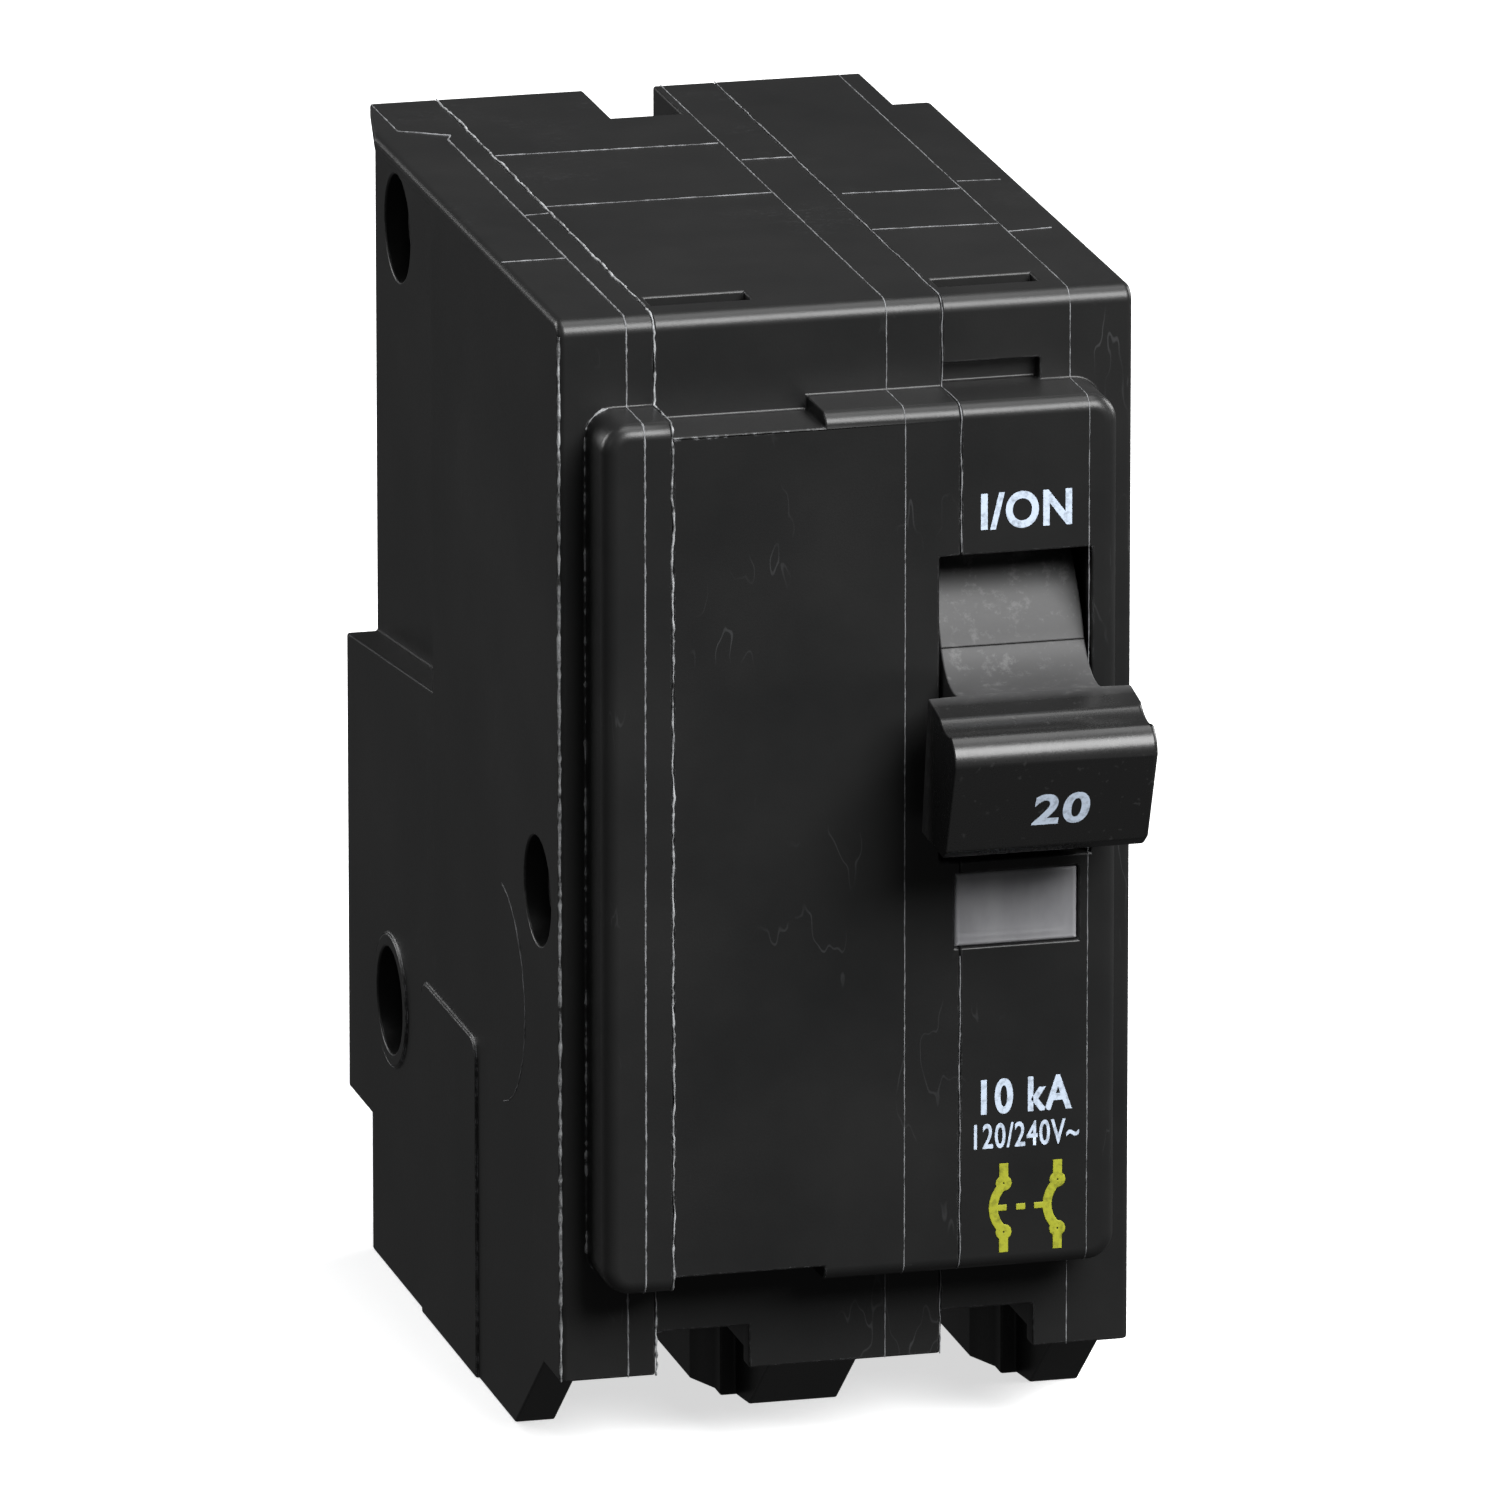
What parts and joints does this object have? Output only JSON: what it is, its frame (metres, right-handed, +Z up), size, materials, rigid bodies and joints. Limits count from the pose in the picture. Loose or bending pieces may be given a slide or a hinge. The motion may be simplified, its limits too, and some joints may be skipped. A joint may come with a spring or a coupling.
{
  "type": "plug-on circuit breaker",
  "caption": "Two-pole plug-on moulded-case circuit breaker with one toggle handle, trip-flag window, rear stab jaws and wire clamps at the foot.",
  "frame": {"origin": "centre of the overall box, at its base (the load-end feet)", "axes": "+Z up from the load end to the line end; the front with the handle faces -Y; +X to the right, across the two poles"},
  "size_m": [0.0384, 0.0738, 0.0774],
  "materials": {
    "case_plastic": "satin moulded thermoset",
    "handle_plastic": "satin moulded plastic",
    "clear_lens": "smoky clear window",
    "red_plastic": "satin",
    "bar_plastic": "natural nylon",
    "fibre_sheet": "vulcanised fibre",
    "copper": "drawn copper",
    "braid_copper": "braided copper wire",
    "silver_contact": "silver alloy",
    "tinned_copper": "tin plated",
    "spring_steel": "spring wire",
    "bright_steel": "bright",
    "zinc_steel": "zinc plated",
    "bimetal_strip": "rolled"
  },
  "bodies": {
    "case": {"left_cover": "case_plastic", "center_case": "case_plastic", "right_case": "case_plastic", "case_rivets": "zinc_steel", "indicator_lens": "clear_lens", "trip_bar_spring": "spring_steel", "rocker_pin": "bright_steel", "line_jaw_left": "tinned_copper", "jaw_spring_left": "spring_steel", "line_strap_left": "copper", "fixed_contact_left": "silver_contact", "arc_plates_left": "zinc_steel", "arc_sheets_left": "fibre_sheet", "cradle_pin_left": "bright_steel", "armature_pin_left": "bright_steel", "magnet_yoke_left": "zinc_steel", "bimetal_left": "bimetal_strip", "calibration_screw_left": "zinc_steel", "load_strap_left": "tinned_copper", "toggle_spring_left": "spring_steel", "flex_braid_left": "braid_copper", "line_jaw_right": "tinned_copper", "jaw_spring_right": "spring_steel", "line_strap_right": "copper", "fixed_contact_right": "silver_contact", "arc_plates_right": "zinc_steel", "arc_sheets_right": "fibre_sheet", "cradle_pin_right": "bright_steel", "armature_pin_right": "bright_steel", "magnet_yoke_right": "zinc_steel", "bimetal_right": "bimetal_strip", "calibration_screw_right": "zinc_steel", "load_strap_right": "tinned_copper", "toggle_spring_right": "spring_steel", "flex_braid_right": "braid_copper"},
    "handle": {"handle": "handle_plastic", "inner_crank": "handle_plastic", "handle_shaft": "bright_steel", "arm_pin_left": "bright_steel", "arm_pin_right": "bright_steel"},
    "trip_bar": {"trip_bar": "bar_plastic"},
    "rocker": {"flag_rocker": "bar_plastic"},
    "flag": {"indicator_flag": "red_plastic"},
    "arm_left": {"contact_arm_left": "copper", "moving_contact_left": "silver_contact"},
    "cradle_left": {"trip_cradle_left": "bright_steel"},
    "latch_left": {"armature_left": "zinc_steel"},
    "clamp_left": {"pressure_plate_left": "zinc_steel"},
    "screw_left": {"terminal_screw_left": "zinc_steel"},
    "arm_right": {"contact_arm_right": "copper", "moving_contact_right": "silver_contact"},
    "cradle_right": {"trip_cradle_right": "bright_steel"},
    "latch_right": {"armature_right": "zinc_steel"},
    "clamp_right": {"pressure_plate_right": "zinc_steel"},
    "screw_right": {"terminal_screw_right": "zinc_steel"}
  },
  "joints": [
    {"name": "handle_toggle", "type": "hinge", "parent": "case", "child": "handle", "pos_m": [0, -0.0143, 0.0512], "axis": [-1, 0, 0], "range_deg": [0, 30], "deforming": ["toggle_spring_left", "toggle_spring_right", "flex_braid_left", "flex_braid_right"]},
    {"name": "trip_turn", "type": "hinge", "parent": "case", "child": "trip_bar", "pos_m": [0, -0.0035, 0.024], "axis": [1, 0, 0], "range_deg": [0, 19], "stiffness_Nm_per_rad": 0.05},
    {"name": "rocker_turn", "type": "hinge", "parent": "case", "child": "rocker", "pos_m": [0.0131, -0.0077, 0.034], "axis": [-1, 0, 0], "range_deg": [0, 24.4]},
    {"name": "flag_slide", "type": "slide", "parent": "case", "child": "flag", "axis": [0, 0, 1], "range_m": [0, 0.00592]},
    {"name": "arm_turn_left", "type": "hinge", "parent": "handle", "child": "arm_left", "pos_m": [-0.00905, -0.00705, 0.05458], "axis": [-1, 0, 0], "range_deg": [0, 15.01]},
    {"name": "cradle_turn_left", "type": "hinge", "parent": "case", "child": "cradle_left", "pos_m": [-0.00905, 0.01, 0.05], "axis": [-1, 0, 0], "range_deg": [0, 14.01]},
    {"name": "armature_turn_left", "type": "hinge", "parent": "case", "child": "latch_left", "pos_m": [-0.00905, 0.0032, 0.0205], "axis": [-1, 0, 0], "range_deg": [0, 8.01]},
    {"name": "clamp_slide_left", "type": "slide", "parent": "case", "child": "clamp_left", "axis": [0, 1, 0], "range_m": [0, 0.0036]},
    {"name": "screw_turn_left", "type": "hinge", "parent": "clamp_left", "child": "screw_left", "pos_m": [-0.00965, -0.0015, 0.0063], "axis": [0, 1, 0], "range_deg": [0, 1620.5]},
    {"name": "arm_turn_right", "type": "hinge", "parent": "handle", "child": "arm_right", "pos_m": [0.01, -0.00705, 0.05458], "axis": [-1, 0, 0], "range_deg": [0, 15.01]},
    {"name": "cradle_turn_right", "type": "hinge", "parent": "case", "child": "cradle_right", "pos_m": [0.01, 0.01, 0.05], "axis": [-1, 0, 0], "range_deg": [0, 14.01]},
    {"name": "armature_turn_right", "type": "hinge", "parent": "case", "child": "latch_right", "pos_m": [0.01, 0.0032, 0.0205], "axis": [-1, 0, 0], "range_deg": [0, 8.01]},
    {"name": "clamp_slide_right", "type": "slide", "parent": "case", "child": "clamp_right", "axis": [0, 1, 0], "range_m": [0, 0.0036]},
    {"name": "screw_turn_right", "type": "hinge", "parent": "clamp_right", "child": "screw_right", "pos_m": [0.0094, -0.0015, 0.0063], "axis": [0, 1, 0], "range_deg": [0, 1620.5]}
  ],
  "couplings": [
    {"joint": "rocker_turn", "follows": "trip_turn", "ratio": 1.279},
    {"joint": "flag_slide", "follows": "trip_turn", "m_per_rad": 0.01779},
    {"joint": "arm_turn_left", "follows": "handle_toggle", "ratio": 0.5},
    {"joint": "cradle_turn_left", "follows": "trip_turn", "ratio": 0.73684},
    {"joint": "armature_turn_left", "follows": "trip_turn", "ratio": 0.42105},
    {"joint": "screw_turn_left", "follows": "clamp_slide_left", "rad_per_m": 7854},
    {"joint": "arm_turn_right", "follows": "handle_toggle", "ratio": 0.5},
    {"joint": "cradle_turn_right", "follows": "trip_turn", "ratio": 0.73684},
    {"joint": "armature_turn_right", "follows": "trip_turn", "ratio": 0.42105},
    {"joint": "screw_turn_right", "follows": "clamp_slide_right", "rad_per_m": 7854}
  ]
}
